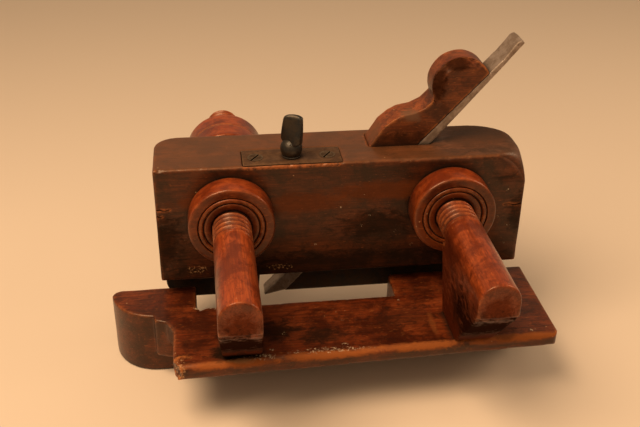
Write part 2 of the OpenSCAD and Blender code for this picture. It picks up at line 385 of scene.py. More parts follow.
def maths(tree, kind, a, b=0.0, clamp=False):
    return put(tree, "Math", {0: a, 1: b}, operation=kind, use_clamp=clamp).outputs[0]


def times(tree, a, b, clamp=False):
    return maths(tree, "MULTIPLY", a, b, clamp)


def plus_share(tree, base, value, share, clamp=False):
    """base with a share of value added, or taken off where the share is negative."""
    return maths(tree, "ADD", base, times(tree, value, share), clamp)


def grey(tree, value):
    return put(tree, "CombineColor", {0: value, 1: value, 2: value}).outputs[0]


def rgb(*value):
    return (*value, 1.0)


def dimmed(colour, share):
    return rgb(*[c * share for c in colour])


def blend(tree, share, a, b, kind="MIX"):
    values = {0: share, 6: a, 7: b}
    return put(tree, "Mix", values, data_type="RGBA", blend_type=kind).outputs[2]


def step_up(tree, value, low, high):
    """0 below low, 1 above high, smooth between; low above high turns it over."""
    values = {"Value": value, "From Min": low, "From Max": high}
    if low > high:
        values.update({"From Min": high, "From Max": low, "To Min": 1.0, "To Max": 0.0})
    return put(tree, "MapRange", values, interpolation_type="SMOOTHSTEP").outputs[0]


def in_millimetres(tree):
    """Object coordinates in millimetres from the stock's corner."""
    raw = put(tree, "TexCoord").outputs["Object"]
    moved = put(tree, "VectorMath", {0: raw, 1: tuple(CORNER)}, operation="SUBTRACT").outputs[0]
    values = {0: moved, "Scale": 1 / MM}
    return put(tree, "VectorMath", values, operation="SCALE").outputs[0]


def stretched(tree, place, grain, along, across):
    """Coordinates squeezed so that a pattern of size 1 is long along the grain."""
    scale = [1 / across] * 3
    scale[grain] = 1 / along
    return put(tree, "VectorMath", {0: place, 1: scale}, operation="MULTIPLY").outputs[0]


def cloud(tree, vector, detail=3.0, rough=0.55, twist=0.0, scale=1.0):
    values = {"Vector": vector, "Scale": scale, "Detail": detail, "Roughness": rough,
              "Distortion": twist}
    return put(tree, "TexNoise", values).outputs["Fac"]


def convex_edges(tree, reach):
    """1 on outer edges and corners, 0 on flat surfaces."""
    values = {"Distance": reach * MM}
    inner = put(tree, "AmbientOcclusion", values, inside=True, only_local=True, samples=8)
    return step_up(tree, inner.outputs["AO"], 0.93, 0.62)


def crevices(tree, reach):
    """1 deep in corners and against other pieces, 0 in the open."""
    outer = put(tree, "AmbientOcclusion", {"Distance": reach * MM}, samples=8)
    return step_up(tree, outer.outputs["AO"], 0.85, 0.35)


def upward_share(tree):
    """1 on surfaces that face up, 0 on upright and lower ones."""
    normal = put(tree, "NewGeometry").outputs["Normal"]
    upward = put(tree, "SeparateXYZ", {0: normal}).outputs[2]
    return step_up(tree, upward, 0.1, 0.9)


def painted_top_light(tree, shaded):
    """Painted light and shade: faces that look up are drawn slightly lighter, and upright and lower
    faces darker, down to the share shaded.
    """
    return plus_share(tree, shaded, upward_share(tree), 1.04 - shaded)


def blot(tree, place, centre, radii, ragged, core):
    """A ragged spot: 0 outside an ellipsoid at a point, 1 within the core's share of it."""
    away = put(tree, "VectorMath", {0: place, 1: centre}, operation="SUBTRACT").outputs[0]
    scaled = put(tree, "VectorMath", {0: away, 1: [1 / r for r in radii]}, operation="MULTIPLY")
    far = put(tree, "VectorMath", {0: scaled.outputs[0]}, operation="LENGTH").outputs["Value"]
    torn = plus_share(tree, far, maths(tree, "SUBTRACT", ragged, 0.5), 1.6)
    return step_up(tree, torn, 1.1, core)


def start_material(name):
    made = bpy.data.materials.new(name)
    made.use_nodes = True
    tree = made.node_tree
    tree.nodes.clear()
    out = put(tree, "OutputMaterial")
    shader = put(tree, "BsdfPrincipled")
    tree.links.new(shader.outputs[0], out.inputs["Surface"])
    return made, tree, shader


def wire(tree, shader, colour, roughness, height=None, depth=0.0):
    """Feeds the shader; depth is how deep the relief of height is, in millimetres."""
    tree.links.new(colour, shader.inputs["Base Color"])
    tree.links.new(roughness, shader.inputs["Roughness"])
    if height is not None:
        values = {"Height": height, "Distance": depth * MM, "Strength": 1.0}
        bump = put(tree, "Bump", values)
        tree.links.new(bump.outputs[0], shader.inputs["Normal"])


def wood_patterns(tree, place, grain):
    """The patterns that a wood's colour and surface are made from."""

    def fibrous(along, across, *shape):
        return cloud(tree, stretched(tree, place, grain, along, across), *shape)

    mottle = fibrous(9, 5, 4, 0.7, 0.6)
    flecks = step_up(tree, fibrous(3.2, 0.8, 1, 0.5), 0.66, 0.74)
    patches = cloud(tree, place, 5, 0.66, 0.5, 1 / 26)
    nick_shape = {"Vector": place, "Scale": 1 / 8, "Randomness": 1.0}
    nick = put(tree, "TexVoronoi", nick_shape).outputs["Distance"]
    return {
        "bands": fibrous(90, 8, 4, 0.6, 0.8),
        "streaks": fibrous(20, 1.0, 4, 0.65, 0.3),
        "fibres": fibrous(6, 0.4, 2, 0.7),
        "pores": step_up(tree, fibrous(2.6, 0.4, 1, 0.5), 0.68, 0.75),
        "flecks": times(tree, flecks, step_up(tree, mottle, 0.4, 0.56)),
        "patches": patches,
        "mottle": mottle,
        "fine": cloud(tree, place, 5, 0.7, 0.0, 1 / 3.5),
        "nicks": times(tree, step_up(tree, nick, 0.07, 0.04), step_up(tree, patches, 0.5, 0.56)),
    }


def grained(tree, pattern, tones, figure, shaded):
    """A wood's colour: bands, streaks, patches, fibres, pores and flecks, with painted shade on the
    sides beside a lighter top.
    """
    dark, mid, light, worn = tones
    colour = blend(tree, step_up(tree, pattern["bands"], 0.3, 0.7), rgb(*mid), rgb(*light))
    streak = step_up(tree, pattern["streaks"], 0.6, 0.38)
    patch = step_up(tree, pattern["patches"], 0.58, 0.38)
    mottle = step_up(tree, pattern["mottle"], 0.52, 0.36)
    for shade, share in ((streak, figure), (patch, 0.8), (mottle, 0.6)):
        colour = blend(tree, times(tree, shade, share), colour, rgb(*dark))
    # Painted light and shade: the top is drawn lighter than the sides
    value = times(tree, plus_share(tree, 0.84, pattern["fibres"], 0.32), painted_top_light(tree, shaded))
    colour = blend(tree, 1.0, colour, grey(tree, value), "MULTIPLY")
    colour = blend(tree, times(tree, pattern["pores"], 0.4), colour, dimmed(dark, 0.25))
    return blend(tree, times(tree, pattern["flecks"], 0.3), colour, rgb(*worn))


def weathered(tree, colour, pattern, tones, wear, crevice_shade_and_grime, dusty):
    """Dust on the top, rubbed edges, painted shade and grime in the hollows, and nicks."""
    dark, _, _, worn = tones
    if dusty:
        dust = plus_share(tree, dusty - 0.25, pattern["patches"], 0.5)
        colour = blend(tree, times(tree, upward_share(tree), dust, clamp=True), colour, rgb(*DUST))
    rubbed = times(tree, convex_edges(tree, 2.6), step_up(tree, pattern["fine"], 0.36, 0.6))
    colour = blend(tree, times(tree, rubbed, wear), colour, rgb(*worn))
    # Painted shade and grime: hollows and places against other pieces are darkened
    colour = blend(tree, crevice_shade_and_grime, colour, dimmed(dark, 0.12))
    return blend(tree, times(tree, pattern["nicks"], 0.8), colour, rgb(*NICKED))


def spotted(tree, colour, place, pattern, spots):
    """Adds stains, spots of painted shade and crumbly chips; gives the colour, and the share of stain
    and painted shade at each place.
    """
    stain_and_painted_shade = 0.0
    crumbs = step_up(tree, cloud(tree, place, 3, 0.75, 0.0, 1 / 1.7), 0.54, 0.6)
    for centre, radii, spot_colour, share in spots:
        chipped = spot_colour in (CHALK, BARE)
        ragged, core = (pattern["fine"], 0.85) if chipped else (pattern["mottle"], 0.4)
        spot = times(tree, blot(tree, place, centre, radii, ragged, core), share)
        if chipped:
            spot = times(tree, spot, crumbs)
        else:
            stain_and_painted_shade = maths(tree, "MAXIMUM", stain_and_painted_shade, spot)
        colour = blend(tree, spot, colour, rgb(*spot_colour))
    return colour, stain_and_painted_shade


def wood(name, grain, tones, shade_and_grime_share=0.75, gloss=0.34, spots=(), wear=0.6, shift=0.0, figure=0.5,
         shaded=0.55, dusty=0.0):
    """Old waxed wood.

    grain is the axis that the fibres follow; tones are the dark, middle, light and worn colours;
    spots are (centre, radii, colour, share); shift moves the patterns; figure is how strong the
    streaks are; shaded is how dark the painted shade on the sides is beside the top.
    """
    made, tree, shader = start_material(name)
    place = in_millimetres(tree)
    moved = {0: place, 1: (shift, shift * 0.7, shift * 1.3)}
    pattern = wood_patterns(tree, put(tree, "VectorMath", moved, operation="ADD").outputs[0], grain)
    # Painted shade and grime in the hollows and against other pieces, from an ambient occlusion mask
    crevice_shade_and_grime = times(tree, crevices(tree, 7), shade_and_grime_share)
    colour = grained(tree, pattern, tones, figure, shaded)
    colour = weathered(tree, colour, pattern, tones, wear, crevice_shade_and_grime, dusty)
    colour, stain_and_painted_shade = spotted(tree, colour, place, pattern, spots)
    rough = plus_share(tree, gloss, pattern["patches"], 0.22)
    rough = plus_share(tree, rough, pattern["pores"], 0.25)
    rough = plus_share(tree, rough, crevice_shade_and_grime, 0.3)
    rough = plus_share(tree, rough, stain_and_painted_shade, 0.28, clamp=True)
    height = times(tree, pattern["fibres"], 0.35)
    height = plus_share(tree, height, pattern["fine"], 0.5)
    height = plus_share(tree, height, pattern["pores"], -0.6)
    height = plus_share(tree, height, pattern["nicks"], -1.2)
    wire(tree, shader, colour, rough, height, 0.16)
    # Stained places and spots of painted shade lose their shine
    for socket, clean, lost in (("Specular IOR Level", 0.44, 0.46), ("Coat Weight", 0.2, 0.3)):
        shader.inputs[socket].default_value = clean
        if spots:
            left = plus_share(tree, clean, stain_and_painted_shade, -lost, clamp=True)
            tree.links.new(left, shader.inputs[socket])
    shader.inputs["Specular Tint"].default_value = (1, 0.72, 0.5, 1)
    shader.inputs["Coat Roughness"].default_value = 0.2
    return made


def aged_metal(name, base, rust, bright, rough=(0.34, 0.3), metallic=0.85, wear=0.7, scale=1.0):
    """Old iron or steel: mottled patina, pits, rust in the hollows and bright rubbed edges.

    rough is the least roughness and how much the patina adds; scale is the patterns' size.
    """
    made, tree, shader = start_material(name)
    place = in_millimetres(tree)
    blotches = cloud(tree, place, 5, 0.65, 0.5, 1 / (7 * scale))
    grit = cloud(tree, place, 4, 0.7, 0.0, 1 / (1.1 * scale))
    scratches = cloud(tree, stretched(tree, place, 0, 14, 0.35), 2, 0.6, 0.3)
    pits = step_up(tree, cloud(tree, place, 1, 0.5, 0.0, 1 / (1.6 * scale)), 0.68, 0.76)
    edge = times(tree, convex_edges(tree, 1.2), step_up(tree, grit, 0.34, 0.6))
    dirt = crevices(tree, 4)
    colour = blend(tree, step_up(tree, blotches, 0.36, 0.62), rgb(*base), rgb(*rust))
    tone = grey(tree, plus_share(tree, 0.7, grit, 0.6))
    colour = blend(tree, 1.0, colour, tone, "MULTIPLY")
    colour = blend(tree, times(tree, edge, wear), colour, rgb(*bright))
    colour = blend(tree, times(tree, pits, 0.7), colour, dimmed(rust, 0.2))
    colour = blend(tree, times(tree, dirt, 0.8), colour, dimmed(rust, 0.15))
    least, spread = rough
    roughness = plus_share(tree, least, blotches, spread)
    roughness = plus_share(tree, roughness, edge, -0.12)
    roughness = plus_share(tree, roughness, dirt, 0.3, clamp=True)
    height = maths(tree, "SUBTRACT", plus_share(tree, grit, scratches, 0.5), pits)
    wire(tree, shader, colour, roughness, height, 0.07)
    shader.inputs["Metallic"].default_value = metallic
    return made


def floor_material():
    made, tree, shader = start_material("floor_pale")
    place = put(tree, "TexCoord").outputs["Object"]
    soft = cloud(tree, place, 2, 0.5, 0.0, 3)
    colour = blend(tree, times(tree, soft, 0.5), rgb(0.8, 0.64, 0.5), rgb(0.78, 0.62, 0.48))
    wire(tree, shader, colour, plus_share(tree, 0.7, soft, 0.1))
    return made


# ---------------------------------------------------------------- pieces


def in_box(p, low, high):
    """Which points are inside a box."""
    return np.all((p > low) & (p < high), axis=1)


def round_heel(p):
    """Rounds the heel's top corner, widest at the near face, and rubs its near edge to a ball."""
    near_share = np.clip(1 - p[:, 1] / 20, 0, 1)
    radius = 8 + 15 * near_share ** 1.5
    away = np.stack([p[:, 0] - (STOCK_LEN - radius), p[:, 2] - (STOCK_H - radius)], axis=1)
    far = np.linalg.norm(away, axis=1)
    corner = (away[:, 0] > 0) & (away[:, 1] > 0) & (far > 0.5)
    inside = np.clip(radius - far, 0, None)
    turn = np.arctan2(np.abs(away[:, 1]), np.abs(away[:, 0]))
    fillet = 1.0 + 7.0 * np.sin(2 * turn)
    a = fillet - inside
    b = fillet - p[:, 1]
    reach = np.hypot(a, b)
    rub = (a > 0) & (b > 0) & (reach > fillet)
    # Points outside the fillet are drawn in onto it
    scale = np.where(rub, fillet / np.maximum(reach, 0.1), 1.0)
    inside = np.where(rub, fillet - a * scale, inside)
    grow = np.where(corner, (radius - inside) / np.maximum(far, 0.5), 1.0) - 1
    out = p.copy()
    out[:, 0] += away[:, 0] * grow
    out[:, 2] += away[:, 1] * grow
    out[:, 1] = np.where(corner & rub, fillet - b * scale, p[:, 1])
    return out


def make_stock(material):
    obj = clean_copy("stock", "stock_body")
    remesh(obj, 0.85)
    p = read_points(obj)
    # The outer edges are worn round; the bores, the mortise and the plate's recess stay crisp
    inner = in_box(p, (1.5, 1.5, -20), (STOCK_LEN - 1.5, STOCK_T - 1.5, STOCK_H - 1.2))
    plate_low, plate_high = local("depth_plate")
    recess = in_box(p, plate_low - (2, 2, 9), plate_high + (2, 2, -0.7))
    mouth = in_box(p, (105, 20.5, 60), (186, 43.5, STOCK_H + 1))
    crisp = inner | recess | mouth
    worn = 0.35 + 0.3 * (bumps(p, 17, 1.0) + 1)
    soften(obj, 5, np.where(crisp, 0.1, worn))
    p = read_points(obj)
    # The heel's rounding grows towards the near side, and the near top edge is bruised
    p = round_heel(p)
    rng = np.random.default_rng(5)
    for _ in range(26):
        x = rng.uniform(3, STOCK_LEN - 6)
        bruise = (x, 0.55, STOCK_H - 0.55 - rng.uniform(0, 0.3))
        normal = (rng.uniform(-0.3, 0.3), -0.8, 0.8)
        p = facet(p, bruise, normal, rng.uniform(1.2, 3.4), 0.3, 1.5)
    for _ in range(10):
        z = rng.uniform(4, STOCK_H - 8)
        normal = (-0.8, -0.8, rng.uniform(-0.3, 0.3))
        p = facet(p, (0.5, 0.6, z), normal, rng.uniform(1, 3), 0.3, 1.5)
    p += read_normals(obj) * (0.06 * bumps(p, 9, 2.0) * ~crisp)[:, None]
    write_points(obj, p)
    thin_out(obj, LARGE_MESH)
    # Checks run in from both ends along the grain
    for x, z, reach in ((STOCK_LEN + 1, 45.5, -15), (-1, 54.5, 11), (-1, 49.8, 6)):
        steps = np.linspace(0, 1, 7)
        path = [(x + reach * t, 0, z + 0.5 * math.sin(9 * t + x)) for t in steps]
        combine(obj, crack(path, 1.5, 1, 3.2))
    shade_smooth(obj, 40)
    finish_piece(obj, "stock", "stock", material)


def flange_edge(x):
    """Y of the flange's slightly skew front edge."""
    return local("fence")[0][1] + FLANGE_SKEW * (x - FLANGE_TOE) / FLANGE_RUN


def round_front(p, radius):
    """Rubs the flange's top front edge round."""
    behind = flange_edge(p[:, 0]) + radius - p[:, 1]
    above = p[:, 2] - (FENCE_TOP - radius)
    far = np.hypot(behind, above)
    past = (behind > 0) & (above > 0) & (far > radius) & (p[:, 0] > 8) & (p[:, 1] < -60)
    scale = np.where(past, radius / np.maximum(far, 0.1), 1.0) - 1
    out = p.copy()
    out[:, 1] -= past * behind * scale
    out[:, 2] += past * above * scale
    # The heel end's front corner is rounded in plan as well
    end = local("fence")[1][0]
    right = out[:, 0] - (end - radius)
    front = flange_edge(end) + radius - out[:, 1]
    far = np.hypot(right, front)
    past = (right > 0) & (front > 0) & (far > radius)
    scale = np.where(past, radius / np.maximum(far, 0.1), 1.0) - 1
    out[:, 0] += past * right * scale
    out[:, 1] -= past * front * scale
    return out


def make_fence(material):
    obj = clean_copy("fence", "fence_body")
    remesh(obj, 0.9)
    p = read_points(obj)
    gap = in_box(p, (20, -16, -80), (159, 13, 0)) & (p[:, 2] < FENCE_TOP - 1.5)
    worn = 0.4 + 0.3 * (bumps(p, 15, 4.0) + 1)
    soften(obj, 6, np.where(gap, 0.2, worn))
    p = read_points(obj)
    rng = np.random.default_rng(8)
    front = local("fence")[0][1]
    p = round_front(p, 4.2)
    # The flange's front edge is bruised and its toe corner is broken off
    p = facet(p, (10.5, front + 3.5, FENCE_TOP - 2), (-0.8, -0.5, 0.3), 10, 1.6, 2.5)
    p = facet(p, (11, front + 2, FENCE_TOP - 6), (-0.9, -0.4, 0.1), 7, 1.2, 2.5)
    p = facet(p, (15, front + 0.6, FENCE_TOP - 1), (-0.25, -0.9, 0.5), 7, 1.0, 2.5)
    for _ in range(34):
        x = rng.uniform(12, 250)
        y = front + 0.5 + FLANGE_SKEW * (x - FLANGE_TOE) / FLANGE_RUN
        normal = (rng.uniform(-0.3, 0.3), -0.7, 0.7)
        p = facet(p, (x, y, FENCE_TOP - 0.6), normal, rng.uniform(1.5, 5), 0.35, 1.8)
    # The gap's front edge is bruised too, most at its toe end
    for _ in range(16):
        x = rng.uniform(22, 158)
        normal = (rng.uniform(-0.4, 0.4), 0.7, 0.7)
        p = facet(p, (x, -15 + 0.4, FENCE_TOP - 0.5), normal, rng.uniform(1.5, 4), 0.35, 1.8)
    p = facet(p, (23, -13, FENCE_TOP - 0.6), (0.8, 0.1, 0.6), 5, 0.8, 2)
    p += read_normals(obj) * (0.08 * bumps(p, 11, 5.0))[:, None]
    write_points(obj, p)
    thin_out(obj, LARGE_MESH)
    steps = np.linspace(0, 1, 8)
    path = [(6 + 13 * t, front + 9 + 2.2 * math.sin(3 * t), FENCE_TOP + 0.1) for t in steps]
    combine(obj, crack(path, 0.9, 2, -3))
    shade_smooth(obj, 40)
    finish_piece(obj, "fence", "fence", material)


def threaded_bar(x):
    """The arm's round bar with a helical groove cut into it by a screw box."""
    y = np.append(np.arange(THREAD_START - 3, ARM_TAIL - 0.02, 0.33), ARM_TAIL - 0.02)
    turn = np.linspace(0, 1, 88, endpoint=False)
    along, around = np.meshgrid(y, turn, indexing="ij")
    across = np.cos(around * 2 * np.pi)
    up = np.sin(around * 2 * np.pi)
    surface = np.stack([ARM_R * across, along, ARM_R * up], axis=-1).reshape(-1, 3)

    def lumps(size, seed):
        return bumps(surface, size, seed).reshape(along.shape)

    phase = (along / THREAD_PITCH - around) % 1
    groove = 0.5 - np.abs(phase - 0.5)
    depth = THREAD_DEPTH * np.clip((groove - 0.06) / 0.36, 0, 1) ** 1.1
    # The thread runs out raggedly at its start, and its crests are chipped and worn
    ragged = 1.4 * lumps(9, 6.0 + x)
    depth *= np.clip((along - THREAD_START - 1.2 - ragged) / 3.4, 0, 1)
    threaded = along > THREAD_START + 3
    depth += 0.5 * np.clip(lumps(5, 7.0 + x) - 0.45, 0, 1) * threaded
    depth += 0.06 * (1 + lumps(2.4, 8.0)) * threaded
    # The tail is rounded, and the plain start sinks inside the arm's own wood
    depth = np.maximum(depth, 3.4 * np.clip(1 - (ARM_TAIL - along) / 6, 0, 1) ** 1.3)
    depth = np.where(along < THREAD_START, 0.6, np.maximum(depth, 0.05))
    radius = ARM_R - depth
    rings = np.stack([x + radius * across, along, ARM_Z + radius * up], axis=-1)
    return grid_mesh("threaded_bar", rings)


def make_arm(side, material):
    node = side + "_arm"
    x = ARM_X[side]
    nose, top = local(node)[0][1], local(node)[1][2]
    obj = clean_copy(node, side + "_arm_wood")
    combine(obj, block((x - 30, THREAD_START + 5, -90), (x + 30, ARM_TAIL + 9, top + 9)))
    remesh(obj, 0.6)
    worn = 0.45 + 0.25 * (bumps(read_points(obj), 12, 8.0 + x) + 1)
    soften(obj, 9, worn)
    p = read_points(obj)
    # Hand-pared facets round the arched end
    rng = np.random.default_rng(int(x))
    rim = ARM_R - 0.5
    for angle in np.radians((15, 48, 90, 130, 166)):
        edge = (x + rim * math.cos(angle), nose + 0.5, ARM_Z + rim * math.sin(angle))
        lean = (0.7 * math.cos(angle), -0.8, 0.7 * math.sin(angle))
        p = facet(p, edge, lean, rng.uniform(3, 6), 0.3, 3)
    # Uneven faces, calm where the threaded bar is joined on
    uneven = np.clip((THREAD_START - 2 - p[:, 1]) / 6, 0, 1)
    p += read_normals(obj) * (0.14 * bumps(p, 12, 9.0 + x) * uneven)[:, None]
    write_points(obj, p)
    combine(obj, block((x - 30, THREAD_START, ARM_Z - ARM_R * 0.6), (x + 30, ARM_TAIL, top + 9)))
    combine(obj, threaded_bar(x), "UNION")
    thin_out(obj, LARGE_MESH)
    shade_smooth(obj, 60)
    finish_piece(obj, node, "fence", material)


def nut_profile(thick, back):
    """Radius and distance from the flat side, round a nut's section from bore to bore.

    back is the size of the chamfer on the flat side's rim.
    """
    bore = ARM_R + 0.08
    r = NUT_R
    flat_side = [(bore, 0.0), (r - 2.4 * back, 0.0), (r - back, 0.15 * back),
                 (r - 0.25 * back, 0.7 * back), (r, 1.6 * back)]
    rim = [(r, 4), (r, 7), (r, 10), (r, 13), (r - 0.02, thick - 2.0), (r - 0.22, thick - 1.0),
           (r - 0.8, thick - 0.25), (r - 1.7, thick), (r - 3.4, thick), (r - 5.6, thick)]
    groove = [(r * 0.786, thick - 0.05), (r * 0.78, thick - 0.35), (r * 0.774, thick - 1.15),
              (r * 0.768, thick - 1.2), (r * 0.762, thick - 0.5), (r * 0.753, thick)]
    bead = [(r * 0.74, thick + 0.25), (r * 0.72, thick + 0.35), (r * 0.69, thick + 0.35),
            (r * 0.672, thick + 0.22), (r * 0.66, thick - 0.1), (r * 0.652, thick - 0.7)]
    inner_groove = [(r * 0.645, thick - 1.2), (r * 0.638, thick - 1.2), (r * 0.63, thick - 0.4),
                    (r * 0.62, thick - 0.02), (r * 0.58, thick - 0.05), (r * 0.53, thick - 0.15)]
    mouth = [(bore + 1.1, thick - 0.35), (bore + 0.4, thick - 0.8), (bore, thick - 1.4),
             (bore, thick - 4), (bore, thick * 0.4)]
    return flat_side + rim + groove + bead + inner_groove + mouth


def make_nut(side, where, material):
    node = f"{side}_{where}_nut"
    x = ARM_X[side]
    low, high = local(node)
    # The loose pair on the toe arm was run together back to back
    loose = node in ("toe_far_nut", "toe_lock_nut")
    outward = -1 if where == "near" or node == "toe_far_nut" else 1
    inner = high[1] if outward < 0 else low[1]
    thick = abs(high[1] - low[1]) - 0.35
    angles = [2 * math.pi * k / 144 for k in range(144)]
    rings = [[(x + radius * math.cos(a), inner + outward * rise, ARM_Z + radius * math.sin(a))
              for a in angles] for radius, rise in nut_profile(thick, 0.25 if loose else 1.0)]
    obj = grid_mesh(node + "_wood", rings, closed_ends=False)
    obj.data.update()
    smoother = obj.modifiers.new("smoother", "SUBSURF")
    smoother.levels = smoother.render_levels = 1
    settle(obj)
    p = read_points(obj)
    # The face's rim is bruised
    rng = np.random.default_rng(len(node) + int(x))
    face_y = inner + outward * thick
    rim = NUT_R - 0.35
    for _ in range(9):
        angle = rng.uniform(0, 2 * math.pi)
        edge = (x + rim * math.cos(angle), face_y - outward * 0.35, ARM_Z + rim * math.sin(angle))
        lean = (math.cos(angle), outward * rng.uniform(0.4, 1.4), math.sin(angle))
        p = facet(p, edge, lean, rng.uniform(1.0, 3.2), 0.4, 1.4)
    outside = np.linalg.norm(p[:, (0, 2)] - (x, ARM_Z), axis=1) > ARM_R + 1
    p -= read_normals(obj) * (0.05 * (1 + bumps(p, 8, x)) * outside)[:, None]
    write_points(obj, p)
    shade_smooth(obj)
    finish_piece(obj, node, node, material)


def chamfer_finial(p, low, high):
    """Carves a rough chamfer round the near edge of the finial's front and top."""
    away = np.stack([p[:, 0] - FINIAL_X, p[:, 2] - (high[2] - FINIAL_R)], axis=1)
    far = np.linalg.norm(away, axis=1)
    angle = np.degrees(np.arctan2(away[:, 1], away[:, 0])) % 360
    share = np.clip((angle - 40) / 35, 0, 1) * np.clip((222 - angle) / 30, 0, 1)
    share *= (p[:, 2] > STOCK_H + 24) & (far < FINIAL_R + 0.7)
    carved = np.clip(far - FINIAL_R + 4.6 + 0.8 * bumps(p, 3, 5.0), 0, 6) * 0.85 * share
    out = p.copy()
    out[:, 1] = np.maximum(p[:, 1], low[1] + carved + 0.25 * bumps(p, 1.6, 6.0) * (carved > 0.3))
    return out


def make_wedge(material):
    obj = clean_copy("wedge", "wedge_wood")
    remesh(obj, 0.45)
    soften(obj, 6, 0.6)
    low, high = local("wedge")
    p = read_points(obj)
    normals = read_normals(obj)
    top = p[:, 2] > STOCK_H + 6
    # A chamfer is pared along the shoulder's near edge, and a rough, deeper one round the finial
    edge = np.clip(1.8 - (p[:, 1] - low[1]), 0, 2)
    facing = np.clip(normals[:, 1] * -1 + 0.2, 0, 1)
    p += normals * (-0.45 * edge * (1 - facing) * top)[:, None]
    p = chamfer_finial(p, low, high)
    p = dent(p, normals, (high[0] - 33, low[1] + 4, STOCK_H + 25), 9, 1.1)
    p += normals * (0.10 * bumps(p, 6, 3.0) * top)[:, None]
    write_points(obj, p)
    soften(obj, 2, 0.4)
    thin_out(obj, SMALL_MESH)
    shade_smooth(obj)
    finish_piece(obj, "wedge", "wedge", material)


def make_iron(material):
    obj = clean_copy("iron", "plane_iron_blade")
    remesh(obj, 0.5)
    # The lip at the top has been hammered out of shape
    lip = local("iron")[1][2] - 14
    soften(obj, 9, np.where(read_points(obj)[:, 2] > lip, 0.6, 0.22))
    p = read_points(obj)
    normals = read_normals(obj)
    hammered = np.clip((p[:, 2] - lip) / 10, 0, 1)
    p += normals * (0.22 * bumps(p, 5.5, 2.0) * hammered - 0.1 * hammered)[:, None]
    p += normals * (0.05 * bumps(p, 9, 4.0))[:, None]
    write_points(obj, p)
    thin_out(obj, SMALL_MESH)
    shade_smooth(obj, 50)
    finish_piece(obj, "iron", "iron", material)


def turned_screw(bottom):
    """The thumbscrew's shank, its neck above the plate, and its ball."""
    shank_r, ball_r = 4.0, 7.2
    profile = [(0.3, bottom), (shank_r - 0.6, bottom), (shank_r, bottom + 0.7)]
    profile += [(shank_r, z) for z in np.linspace(bottom + 4, STOCK_H - 1, 14)]
    profile += [(shank_r, STOCK_H + 0.3), (5.7, STOCK_H + 0.35), (6.0, STOCK_H + 0.8)]
    profile.append((5.9, STOCK_H + 1.4))
    for angle in np.radians(np.linspace(-42, 66, 22)):
        profile.append((ball_r * math.cos(angle), STOCK_H + 5.8 + ball_r * math.sin(angle)))
    profile += [(2.6, STOCK_H + 12.2), (0.3, STOCK_H + 12.3)]
    angles = np.linspace(0, 2 * math.pi, 64, endpoint=False)
    rings = [[(STOP_X + r * math.cos(a), STOP_Y + r * math.sin(a), z) for a in angles]
             for r, z in profile]
    return grid_mesh("thumbscrew", rings)


def twisted_paddle(top):
    """The thumbscrew's flat paddle, which was twisted as it was forged."""
    foot = STOCK_H + 8.5
    angles = np.linspace(0, 2 * math.pi, 48, endpoint=False)
    rings = []
    for t in np.linspace(0, 1, 40):
        z = foot + (top - STOCK_H - 8.5) * t
        rise = min(t / 0.16, 1)
        width = (4.6 + 4.1 * math.sin(rise * math.pi / 2)) * (1 - 0.3 * t)
        thick = 3.5 - 1.7 * t
        cap = math.sqrt(max(1 - max((t - 0.86) / 0.14, 0) ** 2, 0.02))
        twist = math.radians(-58 + 40 * t)
        ring = []
        for a in angles:
            c, s = math.cos(a), math.sin(a)
            u = width * cap * math.copysign(abs(c) ** 0.42, c) + 1.7 * t
            v = thick * cap * math.copysign(abs(s) ** 0.55, s)
            ring.append((STOP_X + u * math.cos(twist) - v * math.sin(twist),
                         STOP_Y + u * math.sin(twist) + v * math.cos(twist), z))
        rings.append(ring)
    return grid_mesh("paddle", rings)


def make_thumbscrew(material):
    low, high = local("depth_screw")
    obj = turned_screw(low[2])
    combine(obj, twisted_paddle(high[2]), "UNION")
    shade_smooth(obj, 38)
    finish_piece(obj, "depth_screw", "thumbscrew", material)


def make_bevelled(node, body, bevel, material):
    """A plain iron piece with its edges broken."""
    obj = clean_copy(node, node + "_iron", bevel, 3)
    shade_smooth(obj, 35)
    finish_piece(obj, node, body, material)


def keep_cad(node, material):
    """Gives a CAD node that stays as it is a material."""
    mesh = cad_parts[node].data
    mesh.materials.clear()
    mesh.materials.append(material)


# ---------------------------------------------------------------- the object

# Dark, middle, light and worn colours of each wood
STOCK_TONES = (
    (0.015, 0.003, 0.0009), (0.105, 0.018, 0.0035), (0.27, 0.055, 0.011), (0.45, 0.12, 0.026))
FENCE_TONES = ((0.025, 0.004, 0.0015), (0.13, 0.02, 0.004), (0.21, 0.04, 0.009), (0.5, 0.16, 0.04))
ARM_TONES = ((0.1, 0.013, 0.003), (0.3, 0.045, 0.009), (0.4, 0.075, 0.016), (0.5, 0.15, 0.04))
NUT_TONES = ((0.1, 0.013, 0.003), (0.29, 0.043, 0.007), (0.38, 0.07, 0.013), (0.5, 0.15, 0.035))
WEDGE_TONES = ((0.045, 0.008, 0.002), (0.19, 0.036, 0.008), (0.32, 0.075, 0.018), (0.5, 0.16, 0.04))


